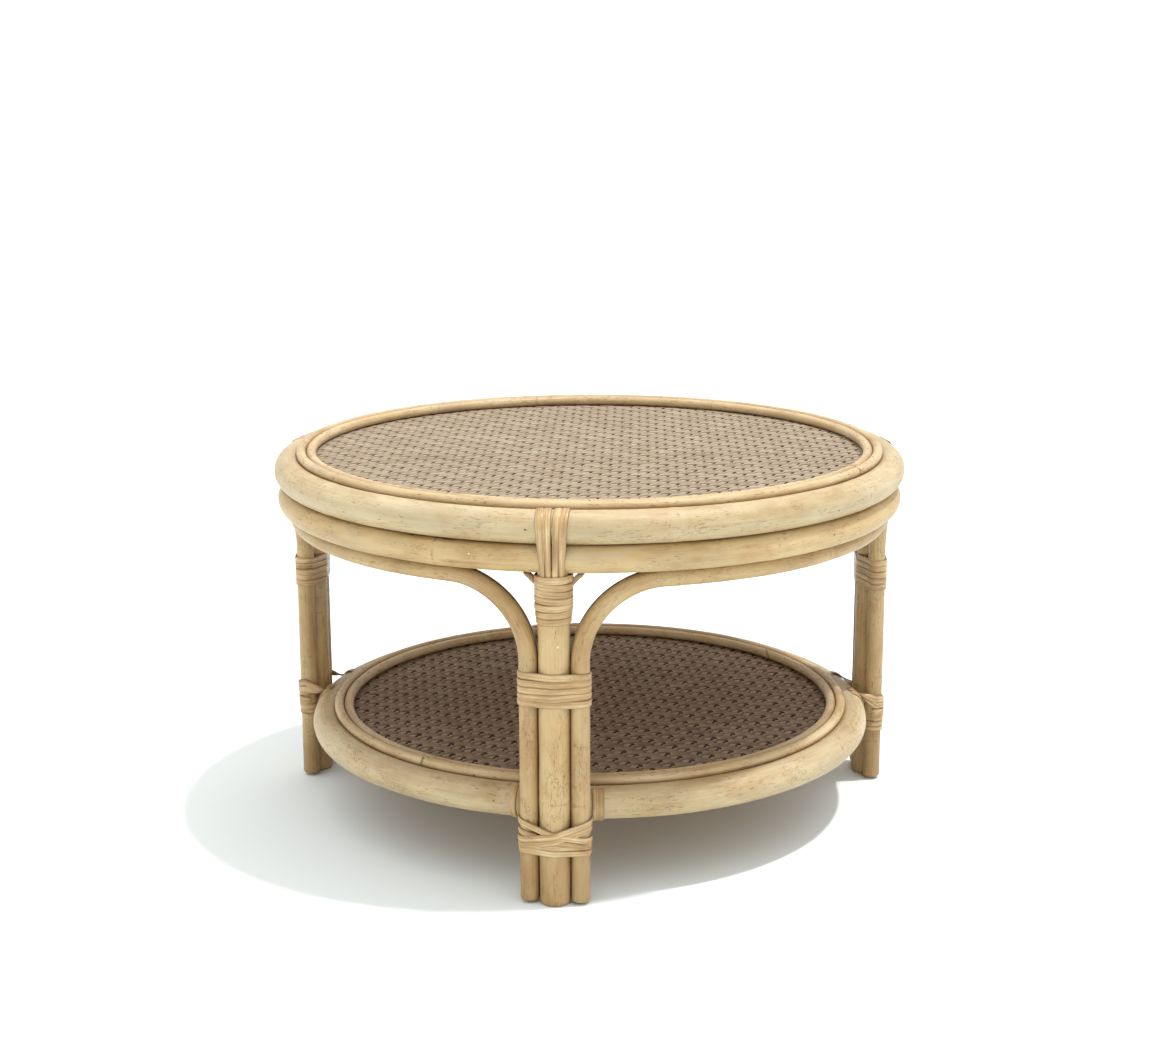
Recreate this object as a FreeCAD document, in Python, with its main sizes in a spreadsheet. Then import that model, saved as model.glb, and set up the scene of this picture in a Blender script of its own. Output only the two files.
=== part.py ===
import FreeCAD, Part
import math
import os

from FreeCAD import Placement, Rotation, Vector

# Round two-tier rattan coffee table, in millimetres.
# +Z is up. The origin is on the floor, on the axis of the round top.
# An azimuth is measured about +Z from the -Y side, which is the front of the table.

UP = Vector(0, 0, 1)

SIZES = {
    # Rim pole of the top and the apron pole below it
    "rim_radius": "357",
    "rim_tube": "18",
    "rim_height": "415",
    "apron_radius": "356",
    "apron_tube": "15.5",
    "apron_height": "=rim_height - sqrt((rim_tube + apron_tube)^2 - (rim_radius - apron_radius)^2)",
    # Rim pole of the shelf
    "shelf_radius": "321",
    "shelf_tube": "18",
    "shelf_height": "101",
    # Thin canes laid round the edge of each panel
    "trim_tube": "5.75",
    "trim_setback": "14",
    "trim_rise": "=sqrt((rim_tube + trim_tube)^2 - trim_setback^2)",
    # Woven sheet on a plywood disc, measured up from the centre of the rim pole
    "panel_rise": "12.5",
    "panel_thick": "3",
    "panel_setback": "17",
    "board_thick": "6",
    "board_setback": "=sqrt(rim_tube^2 - (panel_rise - panel_thick - board_thick)^2)",
    # Legs: a thick pole between two canes, but for the plain pole at the back
    "leg_radius": "356",
    "pole_tube": "17",
    "pole_top": "=apron_height - apron_tube + 6",
    "cane_tube": "10.4",
    "cane_offset": "=pole_tube + cane_tube",
    "cane_foot": "3",
    "arch_radius": "347",
    "cane_height": "=apron_height - sqrt((apron_tube + cane_tube)^2 - (apron_radius - arch_radius)^2)",
    "bend_radius": "88",
    "bend_start": "=cane_height - bend_radius",
    "back_cane_gap": "21.5",
    # Where each leg stands
    "front_azimuth": "-6",
    "right_azimuth": "100",
    "back_azimuth": "187.5",
    "left_azimuth": "257.5",
    # Peel bindings
    "peel_thick": "1.8",
    "strap_width": "7.6",
    "strap_pitch": "8",
    "front_strap_lap": "15",
    "right_strap_lap": "-40",
    "back_strap_lap": "-40",
    "left_strap_lap": "-40",
    "upper_wrap_thick": "3.4",
    "upper_wrap_low": "313",
    "upper_wrap_high": "=apron_height - apron_tube - 1",
    "middle_wrap_thick": "3",
    "middle_wrap_tall": "40",
    "front_wrap_centre": "242",
    "right_wrap_centre": "266",
    "left_wrap_centre": "268",
    "lower_wrap_thick": "2.6",
    "lower_wrap_low": "64",
    "lower_wrap_high": "89",
    "shelf_tie_offset": "47",
    "back_tie_offset": "26",
    "shelf_tie_width": "14",
    "apron_tie_width": "7",
    "apron_tie_drop": "28",
    "apron_tie_reach": "14",
    # Small fixings
    "brad_tube": "0.8",
    "brad_long": "16",
    "brad_count": "20",
    "nail_tube": "2",
    "nail_long": "50",
}

SIDES = ("front", "right", "back", "left")
CANED = ("front", "right", "left")

doc = FreeCAD.newDocument("RattanTable")
sheet = doc.addObject("Spreadsheet::Sheet", "dims")
for row, (alias, value) in enumerate(SIZES.items(), start=1):
    sheet.set(f"A{row}", alias)
    sheet.set(f"B{row}", value)
    sheet.setAlias(f"B{row}", alias)
doc.recompute()

nodes = []


def size(alias):
    """A driving dimension as a plain number."""
    return float(sheet.get(alias))


def bind(obj, **expressions):
    """Tie properties to spreadsheet dimensions."""
    for prop, expression in expressions.items():
        obj.setExpression(prop.replace("__", "."), expression)
    return obj


def keep(obj, label):
    """Mark an object as a finished sub-part."""
    obj.Label = label
    nodes.append(obj)
    return obj


def primitive(kind, name, **expressions):
    return bind(doc.addObject(f"Part::{kind}", name), **expressions)


def cut(name, base, tool):
    obj = doc.addObject("Part::Cut", name)
    obj.Base = base
    obj.Tool = tool
    return obj


def fuse(name, shapes):
    obj = doc.addObject("Part::MultiFuse", name)
    obj.Shapes = shapes
    obj.Refine = True
    return obj


def feature(name, shape):
    """A shape that no primitive covers."""
    obj = doc.addObject("Part::Feature", name)
    obj.Shape = shape
    return obj


def on_leg(obj, side):
    """Stand an object, drawn about a leg's own axis, at that leg's place."""
    azimuth = f"dims.{side}_azimuth * 1deg"
    obj.Placement = Placement(Vector(0, 0, 0), Rotation(UP, 1))
    bind(
        obj,
        Placement__Base__x=f"dims.leg_radius * 1mm * sin({azimuth})",
        Placement__Base__y=f"-dims.leg_radius * 1mm * cos({azimuth})",
        Placement__Rotation__Angle=azimuth,
    )
    return obj


def ring(name, radius, tube, height):
    """A pole bent into a full circle."""
    return keep(
        primitive("Torus", name, Radius1=radius, Radius2=tube, Placement__Base__z=height),
        name,
    )


def disc(name, radius, thick, height):
    return keep(
        primitive("Cylinder", name, Radius=radius, Height=thick, Placement__Base__z=height),
        name,
    )


def tier(name, radius, height):
    """The panel, its plywood backing and the two trim canes inside one rim pole."""
    panel_top = f"{height} + dims.panel_rise"
    outer = f"{radius} - dims.trim_setback"
    ring(f"{name}_trim_outer", outer, "dims.trim_tube", f"{height} + dims.trim_rise")
    ring(
        f"{name}_trim_inner",
        f"{outer} - 2 * dims.trim_tube",
        "dims.trim_tube",
        f"{panel_top} + dims.trim_tube",
    )
    disc(
        f"{name}_woven_panel",
        f"{radius} - dims.panel_setback",
        "dims.panel_thick",
        f"{panel_top} - dims.panel_thick",
    )
    disc(
        f"{name}_backing_board",
        f"{radius} - dims.board_setback",
        "dims.board_thick",
        f"{panel_top} - dims.panel_thick - dims.board_thick",
    )


def leg_pole(side):
    """The thick middle pole, coped on top to sit under the apron pole."""
    pole = primitive("Cylinder", f"{side}_pole_blank", Radius="dims.pole_tube", Height="dims.pole_top")
    cope = primitive(
        "Torus",
        f"{side}_pole_cope",
        Radius1="dims.apron_radius",
        Radius2="dims.apron_tube",
        Placement__Base__y="dims.leg_radius",
        Placement__Base__z="dims.apron_height",
    )
    name = f"{side}_leg_pole"
    keep(on_leg(cut(name, pole, cope), side), name)


def round_point(azimuth, radius, height):
    angle = math.radians(azimuth)
    return Vector(radius * math.sin(angle), -radius * math.cos(angle), height)


def bend_edge(azimuth, turn):
    """Quarter bend of a cane from vertical beside a leg to level under the apron."""
    bend = size("bend_radius")
    ring_radius = size("arch_radius")
    leg_radius = math.hypot(size("leg_radius"), size("cane_offset"))
    start = math.atan2(size("cane_offset"), size("leg_radius"))
    points = []
    for step in range(7):
        angle = math.radians(15 * step)
        along = start + bend * (1 - math.cos(angle)) / ring_radius
        radius = leg_radius + (ring_radius - leg_radius) * step / 6
        height = size("bend_start") + bend * math.sin(angle)
        points.append(round_point(azimuth + turn * math.degrees(along), radius, height))
    end = math.radians(azimuth) + turn * along
    level = Vector(turn * math.cos(end), turn * math.sin(end), 0)
    curve = Part.BSplineCurve()
    curve.interpolate(Points=points, InitialTangent=UP, FinalTangent=level)
    return curve.toShape(), points


def arch_cane(name, from_side, to_side):
    """One cane from the floor up a leg, along under the apron and down the next leg if that has canes."""
    start = size(f"{from_side}_azimuth")
    end = size(f"{to_side}_azimuth")
    if end < start:
        end += 360
    near, far = (start, 1, from_side), (end, -1, to_side)
    if from_side not in CANED:
        near, far = far, near
    rise, first = bend_edge(near[0], near[1])
    drop = UP * (size("bend_start") - size("cane_foot"))
    middle = round_point((start + end) / 2, size("arch_radius"), size("cane_height"))
    edges = [Part.makeLine(first[0] - drop, first[0]), rise]
    if far[2] in CANED:
        fall, last = bend_edge(far[0], far[1])
        edges.append(Part.Arc(first[-1], middle, last[-1]).toShape())
        edges.append(Part.Wire(fall).Edges[0])
        edges.append(Part.makeLine(last[0], last[0] - drop))
    else:
        gap = math.degrees(size("back_cane_gap") / size("arch_radius"))
        stop = round_point(far[0] + far[1] * gap, size("arch_radius"), size("cane_height"))
        edges.append(Part.Arc(first[-1], middle, stop).toShape())
    section = Part.Wire(Part.makeCircle(size("cane_tube"), first[0] - drop, UP))
    keep(feature(name, Part.Wire(edges).makePipeShell([section], True, False)), name)


def obround(name, spread, radius, height):
    """An upright block with flat sides and round ends."""
    block = primitive(
        "Box",
        f"{name}_flat",
        Length=f"2 * ({spread})",
        Width=f"2 * ({radius})",
        Height=height,
        Placement__Base__x=f"-({spread})",
        Placement__Base__y=f"-({radius})",
    )
    ends = [
        primitive("Cylinder", f"{name}_{end}", Radius=radius, Height=height, Placement__Base__x=place)
        for end, place in (("end_a", spread), ("end_b", f"-({spread})"))
    ]
    return fuse(name, [block] + ends)


def leg_band(name, side, slack, thick, low, tall):
    """Binding round all three members of a leg."""
    spread = f"2 * dims.cane_tube + {slack}"
    inner = obround(f"{name}_bore", spread, "dims.pole_tube", tall)
    outer = obround(f"{name}_blank", spread, f"dims.pole_tube + {thick}", tall)
    band = bind(on_leg(cut(name, outer, inner), side), Placement__Base__z=low)
    return keep(band, name)


def pole_band(name, side, thick, low, high):
    """Binding round a leg's pole alone."""
    tall = f"dims.{high} - dims.{low}"
    bore = primitive("Cylinder", f"{name}_bore", Radius="dims.pole_tube", Height=tall)
    radius = f"dims.pole_tube + dims.{thick}"
    blank = primitive("Cylinder", f"{name}_blank", Radius=radius, Height=tall)
    keep(bind(on_leg(cut(name, blank, bore), side), Placement__Base__z=f"dims.{low}"), name)


def strap_profile(lap):
    """Side view of a strip from the rim, over its outside and down to the pole."""
    gap = 0.1
    rim_y = size("leg_radius") - size("rim_radius")
    rim_z = size("rim_height")
    near = size("rim_tube") + gap
    far = near + size("peel_thick")
    foot_y = -size("pole_tube") - gap
    foot_z = size("upper_wrap_high")

    def on_rim(radius, angle):
        turn = math.radians(angle)
        return Vector(0, rim_y + radius * math.sin(turn), rim_z + radius * math.cos(turn))

    edge = -90 - 6
    inside = Part.Arc(on_rim(near, lap), on_rim(near, (lap + edge) / 2), on_rim(near, edge))
    outside = Part.Arc(on_rim(far, edge), on_rim(far, (lap + edge) / 2), on_rim(far, lap))
    foot_in = Vector(0, foot_y, foot_z)
    foot_out = Vector(0, foot_y - size("peel_thick"), foot_z)
    return Part.Face(
        Part.Wire(
            [
                inside.toShape(),
                Part.makeLine(on_rim(near, edge), foot_in),
                Part.makeLine(foot_in, foot_out),
                Part.makeLine(foot_out, on_rim(far, edge)),
                outside.toShape(),
                Part.makeLine(on_rim(far, lap), on_rim(near, lap)),
            ]
        )
    )


def rim_straps(side):
    """Four strips side by side that hang the rim and the apron on a leg."""
    width = size("strap_width")
    strips = []
    for index in range(4):
        strip = strap_profile(size(f"{side}_strap_lap")).extrude(Vector(width, 0, 0))
        strip.translate(Vector((index - 1.5) * size("strap_pitch") - width / 2, 0, 0))
        strips.append(strip)
    name = f"{side}_leg_rim_straps"
    keep(on_leg(feature(name, Part.makeCompound(strips)), side), name)


def apron_tie():
    """One strip that climbs a pole's side and curls out under the apron pole."""
    reach = size("apron_tie_reach")
    thick = size("peel_thick")
    start = size("pole_tube")
    top = size("apron_height") - size("apron_tube")
    centre = Vector(start + reach, 0, top - reach)
    low = top - size("apron_tie_drop")

    def on_curl(radius, angle):
        turn = math.radians(angle)
        return centre + Vector(-radius * math.sin(turn), 0, radius * math.cos(turn))

    inner = reach - thick
    face = Part.Face(
        Part.Wire(
            [
                Part.makeLine(Vector(start, 0, low), on_curl(reach, 90)),
                Part.Arc(on_curl(reach, 90), on_curl(reach, 45), on_curl(reach, 0)).toShape(),
                Part.makeLine(on_curl(reach, 0), on_curl(inner, 0)),
                Part.Arc(on_curl(inner, 0), on_curl(inner, 45), on_curl(inner, 90)).toShape(),
                Part.makeLine(on_curl(inner, 90), Vector(start + thick, 0, low)),
                Part.makeLine(Vector(start + thick, 0, low), Vector(start, 0, low)),
            ]
        )
    )
    return face.extrude(Vector(0, size("apron_tie_width"), 0))


def apron_ties(side):
    """The pair of strips that brace a pole against the underside of the apron."""
    one = apron_tie()
    pair = Part.makeCompound([one, one.mirror(Vector(0, 0, 0), Vector(1, 0, 0))])
    name = f"{side}_leg_apron_ties"
    keep(on_leg(feature(name, pair), side), name)


def leg_wraps(side):
    """The bindings round a leg, the upper one pulled tight over the ends of the apron ties."""
    pole_band(f"{side}_leg_upper_wrap", side, "upper_wrap_thick", "upper_wrap_low", "upper_wrap_high")
    if side not in CANED:
        pole_band(f"{side}_leg_lower_wrap", side, "lower_wrap_thick", "lower_wrap_low", "lower_wrap_high")
        return
    # The canes have begun to part where a middle binding sits above the start of the bend.
    top = size(f"{side}_wrap_centre") + size("middle_wrap_tall") / 2
    above = max(0.0, top - size("bend_start"))
    slack = size("bend_radius") - math.sqrt(size("bend_radius") ** 2 - above**2)
    leg_band(
        f"{side}_leg_middle_wrap",
        side,
        f"{slack:.2f}",
        "dims.middle_wrap_thick",
        f"dims.{side}_wrap_centre - dims.middle_wrap_tall / 2",
        "dims.middle_wrap_tall",
    )
    leg_band(
        f"{side}_leg_lower_wrap",
        side,
        "0",
        "dims.lower_wrap_thick",
        "dims.lower_wrap_low",
        "dims.lower_wrap_high - dims.lower_wrap_low",
    )


def shelf_tie(side, hand, turn):
    """A binding hooked round the shelf rim beside a leg, open where the trim cane lies."""
    near = size("shelf_tube")
    far = near + size("peel_thick")
    start, end = -150, 78

    def on_rim(radius, angle):
        turned = math.radians(angle)
        place = Vector(radius * math.cos(turned), 0, radius * math.sin(turned))
        return place + Vector(size("shelf_radius"), 0, size("shelf_height"))

    middle = (start + end) / 2
    section = Part.Face(
        Part.Wire(
            [
                Part.Arc(on_rim(near, start), on_rim(near, middle), on_rim(near, end)).toShape(),
                Part.makeLine(on_rim(near, end), on_rim(far, end)),
                Part.Arc(on_rim(far, end), on_rim(far, middle), on_rim(far, start)).toShape(),
                Part.makeLine(on_rim(far, start), on_rim(near, start)),
            ]
        )
    )
    sweep = math.degrees(size("shelf_tie_width") / size("shelf_radius"))
    reach = size("shelf_tie_offset" if side in CANED else f"{side}_tie_offset")
    offset = math.degrees(reach / size("leg_radius"))
    azimuth = size(f"{side}_azimuth") + turn * offset
    name = f"{side}_leg_shelf_tie_{hand}"
    tie = feature(name, section.revolve(Vector(0, 0, 0), UP, sweep))
    tie.Placement = Placement(Vector(0, 0, 0), Rotation(UP, azimuth - 90 - sweep / 2))
    keep(tie, name)


def brads(name, radius, height):
    """Fine brads driven down through both trim canes into the plywood."""
    count = int(size("brad_count"))
    outer = radius - size("trim_setback")
    inner = outer - 2 * size("trim_tube")
    outer_top = height + size("trim_rise") + size("trim_tube")
    inner_top = height + size("panel_rise") + 2 * size("trim_tube")
    pins = []
    for index in range(count):
        angle = 360 / count * index
        rows = ((angle, outer, outer_top), (angle + 180 / count, inner, inner_top))
        for azimuth, place, top in rows:
            base = round_point(azimuth, place, top - size("brad_long") + 0.3)
            pins.append(Part.makeCylinder(size("brad_tube"), size("brad_long"), base, UP))
    keep(feature(name, Part.makeCompound(pins)), name)


def apron_nails():
    """One nail down through the apron pole into the top of each leg pole."""
    long = size("nail_long")
    low = size("apron_height") + size("apron_tube") - 4 - long
    nails = [
        Part.makeCylinder(
            size("nail_tube"),
            long,
            round_point(size(f"{side}_azimuth"), size("leg_radius"), low),
            UP,
        )
        for side in SIDES
    ]
    keep(feature("apron_nails", Part.makeCompound(nails)), "apron_nails")


def shelf_nails():
    """One nail through the shelf rim into each leg pole."""
    start = size("shelf_radius") - size("shelf_tube") + 2
    nails = []
    for side in SIDES:
        base = round_point(size(f"{side}_azimuth"), start, size("shelf_height"))
        way = round_point(size(f"{side}_azimuth"), 1, 0)
        nails.append(Part.makeCylinder(size("nail_tube"), size("nail_long"), base, way))
    keep(feature("shelf_nails", Part.makeCompound(nails)), "shelf_nails")


def build():
    ring("top_rim", "dims.rim_radius", "dims.rim_tube", "dims.rim_height")
    ring("apron_ring", "dims.apron_radius", "dims.apron_tube", "dims.apron_height")
    ring("shelf_rim", "dims.shelf_radius", "dims.shelf_tube", "dims.shelf_height")
    tier("top", "dims.rim_radius", "dims.rim_height")
    tier("shelf", "dims.shelf_radius", "dims.shelf_height")
    arch_cane("arch_cane_front_right", "front", "right")
    arch_cane("arch_cane_back_right", "right", "back")
    arch_cane("arch_cane_back_left", "back", "left")
    arch_cane("arch_cane_front_left", "left", "front")
    for side in SIDES:
        leg_pole(side)
        rim_straps(side)
        if side in CANED:
            apron_ties(side)
        leg_wraps(side)
        shelf_tie(side, "a", -1)
        shelf_tie(side, "b", 1)
    brads("top_trim_brads", size("rim_radius"), size("rim_height"))
    brads("shelf_trim_brads", size("shelf_radius"), size("shelf_height"))
    apron_nails()
    shelf_nails()


def write():
    doc.recompute()
    for obj in doc.Objects:
        if "Invalid" in obj.State or "Error" in obj.State:
            raise RuntimeError(f"{obj.Label} did not build")
    os.makedirs("parts", exist_ok=True)
    for obj in nodes:
        shape = obj.Shape
        if shape.isNull() or not shape.isValid():
            raise RuntimeError(f"{obj.Label} has a bad shape")
        shape.exportStep(f"parts/{obj.Label}.step")
        box = shape.BoundBox
        print(
            f"{obj.Label:28s} solids {len(shape.Solids):3d}  {shape.Volume / 1000:9.2f} cm3",
            f"z {box.ZMin:7.1f} to {box.ZMax:7.1f}",
        )


build()
write()
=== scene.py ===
import math

import bpy
import numpy as np
from mathutils import Matrix, Vector


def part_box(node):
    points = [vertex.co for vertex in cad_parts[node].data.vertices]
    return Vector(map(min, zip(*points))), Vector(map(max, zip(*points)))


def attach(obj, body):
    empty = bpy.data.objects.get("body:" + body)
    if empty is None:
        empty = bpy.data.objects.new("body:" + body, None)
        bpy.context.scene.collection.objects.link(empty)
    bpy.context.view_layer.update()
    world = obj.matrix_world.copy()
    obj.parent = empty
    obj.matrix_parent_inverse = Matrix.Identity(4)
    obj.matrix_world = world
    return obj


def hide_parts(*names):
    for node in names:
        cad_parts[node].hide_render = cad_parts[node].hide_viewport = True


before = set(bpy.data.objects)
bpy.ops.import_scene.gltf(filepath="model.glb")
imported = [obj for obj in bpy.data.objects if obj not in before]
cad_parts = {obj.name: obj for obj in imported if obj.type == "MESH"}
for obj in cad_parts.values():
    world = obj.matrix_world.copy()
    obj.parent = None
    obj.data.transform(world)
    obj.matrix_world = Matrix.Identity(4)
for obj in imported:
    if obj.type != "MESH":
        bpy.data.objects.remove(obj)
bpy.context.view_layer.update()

# Round two-tier rattan table. Everything is in metres, in the frame of the CAD model: +Z up, the
# origin on the floor on the axis of the round top. An azimuth is measured about +Z from -Y, the front.

MM = 0.001
TAU = 2 * math.pi
SIDES = ("front", "right", "back", "left")
# The legs with a cane on each side of the pole; the one at the back is a plain pole
CANED = ("front", "right", "left")
ARCHES = (("front", "right"), ("right", "back"), ("back", "left"), ("left", "front"))
# Bend of an arch's middle line, the ring on which it runs under the apron, and the room between
# the middle of the back pole and the ends of the canes beside it
BEND_RADIUS = 88 * MM
ARCH_RADIUS = 347 * MM
BACK_CANE_GAP = 21.5 * MM
CANE_TUBE = 10.4 * MM
PEEL_WIDTH = 7.4 * MM
PEEL_THICK = 1.7 * MM

rng = np.random.default_rng(41)


# ------------ places taken from the frame

def ring_of(node):
    """Radius, tube radius and height of a ring's centre line."""
    low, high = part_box(node)
    tube = (high.z - low.z) / 2
    return high.x - tube, tube, low.z + tube


def spread_of(node):
    """Lowest and highest z of a node."""
    low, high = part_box(node)
    return low.z, high.z


def leg_of(side):
    """Azimuth of a leg, its distance from the axis and its pole's radius."""
    low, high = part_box(f"{side}_leg_pole")
    centre = (low + high) / 2
    return math.atan2(centre.x, -centre.y), math.hypot(centre.x, centre.y), (high.x - low.x) / 2


RIM = ring_of("top_rim")
APRON = ring_of("apron_ring")
SHELF = ring_of("shelf_rim")
LEGS = {side: leg_of(side) for side in SIDES}
LEG_RADIUS = LEGS["front"][1]
POLE_TUBE = LEGS["front"][2]
CANE_OFFSET = POLE_TUBE + CANE_TUBE
ARCH_HEIGHT = APRON[2] - math.sqrt((APRON[1] + CANE_TUBE) ** 2 - (APRON[0] - ARCH_RADIUS) ** 2)
BEND_START = ARCH_HEIGHT - BEND_RADIUS
CANE_FOOT = spread_of("arch_cane_front_right")[0]


def outward(azimuth):
    """Unit vectors away from the axis at each azimuth."""
    azimuth = np.asarray(azimuth, float)
    return np.stack([np.sin(azimuth), -np.cos(azimuth), np.zeros_like(azimuth)], -1)


def at_leg(side, local):
    """Points given as (along the rim, outward, up) from a leg's foot, in the frame."""
    azimuth, radius, _ = LEGS[side]
    out = outward(azimuth)
    along = np.array([math.cos(azimuth), math.sin(azimuth), 0.0])
    local = np.asarray(local, float)
    return (
        local[..., :1] * along
        + (local[..., 1:2] + radius) * out
        + local[..., 2:3] * np.array([0.0, 0.0, 1.0])
    )


def turn_to_leg(side, local):
    """Directions given as (along the rim, outward, up) at a leg, in the frame."""
    return at_leg(side, local) - at_leg(side, np.zeros(3))


def unit(vectors):
    """The same directions, each of length one."""
    return vectors / np.linalg.norm(vectors, axis=-1, keepdims=True)


def smooth(value):
    """Eases 0..1 into 0..1, held level outside it."""
    value = np.clip(value, 0, 1)
    return value * value * (3 - 2 * value)


def resample(points, normals, step):
    """The same path in steps of one length."""
    lengths = np.linalg.norm(np.diff(points, axis=0), axis=1)
    run = np.concatenate([[0], np.cumsum(lengths)])
    count = max(3, int(run[-1] / step) + 1)
    at = np.linspace(0, run[-1], count)
    new_points = np.stack([np.interp(at, run, points[:, k]) for k in range(3)], -1)
    new_normals = np.stack([np.interp(at, run, normals[:, k]) for k in range(3)], -1)
    return new_points, unit(new_normals)


def spline(points, count):
    """A smooth curve through a few points, given as rows of any width."""
    points = np.asarray(points, float)
    padded = np.vstack([2 * points[0] - points[1], points, 2 * points[-1] - points[-2]])
    rows = []
    for index in range(len(points) - 1):
        before, start, end, after = padded[index:index + 4]
        for t in np.linspace(0, 1, count, endpoint=False):
            rows.append(
                0.5 * (2 * start + (end - before) * t
                       + (2 * before - 5 * start + 4 * end - after) * t ** 2
                       + (3 * start - before - 3 * end + after) * t ** 3)
            )
    rows.append(points[-1])
    return np.array(rows)


# ------------ meshes

# Length of one step of a hoop's mesh, the distance at which a knuckle no longer tells, and the tone
# of a piece that has no neighbours to differ from
HOOP_STEP = 3.2 * MM
FAR_FROM_KNUCKLE = 30 * MM
PLAIN_TONE = 0.5


class Piece:
    """The mesh of one object, gathered from canes and strips, with the grain its material follows."""

    def __init__(self):
        self.points = []
        self.faces = []
        self.layers = {"grain": [], "tone": [], "knuckle": [], "mark": []}
        self.count = 0

    def add(self, grid, grain, tone, knuckle, mark):
        """A closed section carried along a path: one row of the grid for each step."""
        rows, sides = grid.shape[:2]
        index = self.count + np.arange(rows * sides).reshape(rows, sides)
        here, there = index[:-1], index[1:]
        quads = np.stack([here, np.roll(here, -1, 1), np.roll(there, -1, 1), there], -1)
        self.faces += quads.reshape(-1, 4).tolist()
        self.faces.append(index[0, ::-1].tolist())
        self.faces.append(index[-1].tolist())
        self.points.append(grid.reshape(-1, 3))
        self.layers["grain"].append(grain.reshape(-1, 3) + rng.uniform(0, 40, 3) * [1, 0, 0])
        for name, value in (("tone", tone), ("knuckle", knuckle), ("mark", mark)):
            self.layers[name].append(np.broadcast_to(value, (rows, sides)).ravel())
        self.count += rows * sides

    def build(self, name, finish, slot, *nodes):
        """Makes the object, which rides with the table and stands in for the CAD nodes."""
        mesh = bpy.data.meshes.new(name)
        mesh.from_pydata(np.concatenate(self.points).tolist(), [], self.faces)
        for label, parts in self.layers.items():
            vector = label == "grain"
            layer = mesh.attributes.new(label, "FLOAT_VECTOR" if vector else "FLOAT", "POINT")
            values = np.concatenate(parts).astype(np.float32).ravel()
            layer.data.foreach_set("vector" if vector else "value", values)
        mesh.shade_smooth()
        mesh.set_sharp_from_angle(angle=math.radians(55))
        mesh.materials.append(finish)
        obj = bpy.data.objects.new(name, mesh)
        bpy.context.scene.collection.objects.link(obj)
        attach(obj, "root")
        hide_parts(*nodes)


def grain_of(along, first, second):
    """Places along and across the fibres at every point of a mesh, which the materials follow."""
    return np.stack(np.broadcast_arrays(along, first, second), -1)


def knuckle_places(along, spacing):
    """Places of the nodes of a cane, each on a row of its mesh."""
    places = []
    at = along[0] + spacing * rng.uniform(0.35, 0.9)
    while at < along[-1] - 0.02:
        places.append(along[np.argmin(abs(along - at))])
        at += spacing * rng.uniform(0.75, 1.3)
    return np.array(places)


def seam_shade_mark(turn, tube, seams):
    """How near each direction round a cane is to a line where it touches a neighbour, for the painted
    shade in that crease.
    """
    mark = np.zeros_like(turn)
    # Painted contact shade: a thin dark line in a wider painted shade
    for seam in seams:
        off = (turn - math.radians(seam) + math.pi) % TAU - math.pi
        gap = abs(off * tube) / MM
        mark = np.maximum(mark, 0.6 * np.exp(-((gap / 1.4) ** 2)) + 0.4 * np.exp(-((gap / 6.5) ** 2)))
    return mark


def cane_surface(along, turn, tube, spacing, lumps):
    """Radius at each point of a cane, swollen at its nodes, and the distance to the nearest node."""
    radius = np.full((len(along), len(turn)), tube)
    # Long slow swellings, the first all round and the others on one, two or three sides
    for wave, lobes in enumerate((0, 1, 2, 1, 3)):
        reach = rng.uniform(50, 260) * MM
        phase = rng.uniform(0, TAU, 2)
        swell = np.sin(TAU * along / reach + phase[0])[:, None]
        radius += lumps * tube / (1 + wave) * swell * np.cos(lobes * turn + phase[1])
    away = np.full(len(along), FAR_FROM_KNUCKLE)
    for place in knuckle_places(along, spacing):
        offset = along - place
        radius += 0.016 * tube * np.exp(-((offset / (8 * MM)) ** 2))[:, None]
        radius -= 0.010 * tube * np.exp(-(((offset - 7 * MM) / (5 * MM)) ** 2))[:, None]
        away = np.minimum(away, abs(offset))
    return radius, np.broadcast_to(away[:, None], radius.shape)


def cane(piece, path, out, tube, sides, spacing, lumps, ends, seams=()):
    """A round cane along a path, its ends rounded over the given lengths."""
    steps = np.linalg.norm(np.diff(path, axis=0), axis=1)
    along = np.concatenate([[0], np.cumsum(steps)])
    tangent = unit(np.gradient(path, along, axis=0))
    first = unit(out - np.sum(out * tangent, 1, keepdims=True) * tangent)
    second = np.cross(tangent, first)
    turn = np.linspace(0, TAU, sides, endpoint=False)
    radius, away = cane_surface(along, turn, tube, spacing, lumps)
    for reach, gone in zip(ends, (along, along[-1] - along)):
        if reach:
            left = np.clip(1 - gone / reach, 0, 1)
            radius -= (reach * (1 - np.sqrt(1 - 0.97 * left ** 2)))[:, None]
    across = first[:, None] * np.cos(turn)[:, None] + second[:, None] * np.sin(turn)[:, None]
    grid = path[:, None] + radius[..., None] * across
    grain = grain_of(along[:, None], tube * np.cos(turn), tube * np.sin(turn))
    # The mark holds the painted contact shade along the seams
    mark = np.broadcast_to(seam_shade_mark(turn, tube, seams), radius.shape)
    piece.add(grid, grain, PLAIN_TONE, away, mark)


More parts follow.
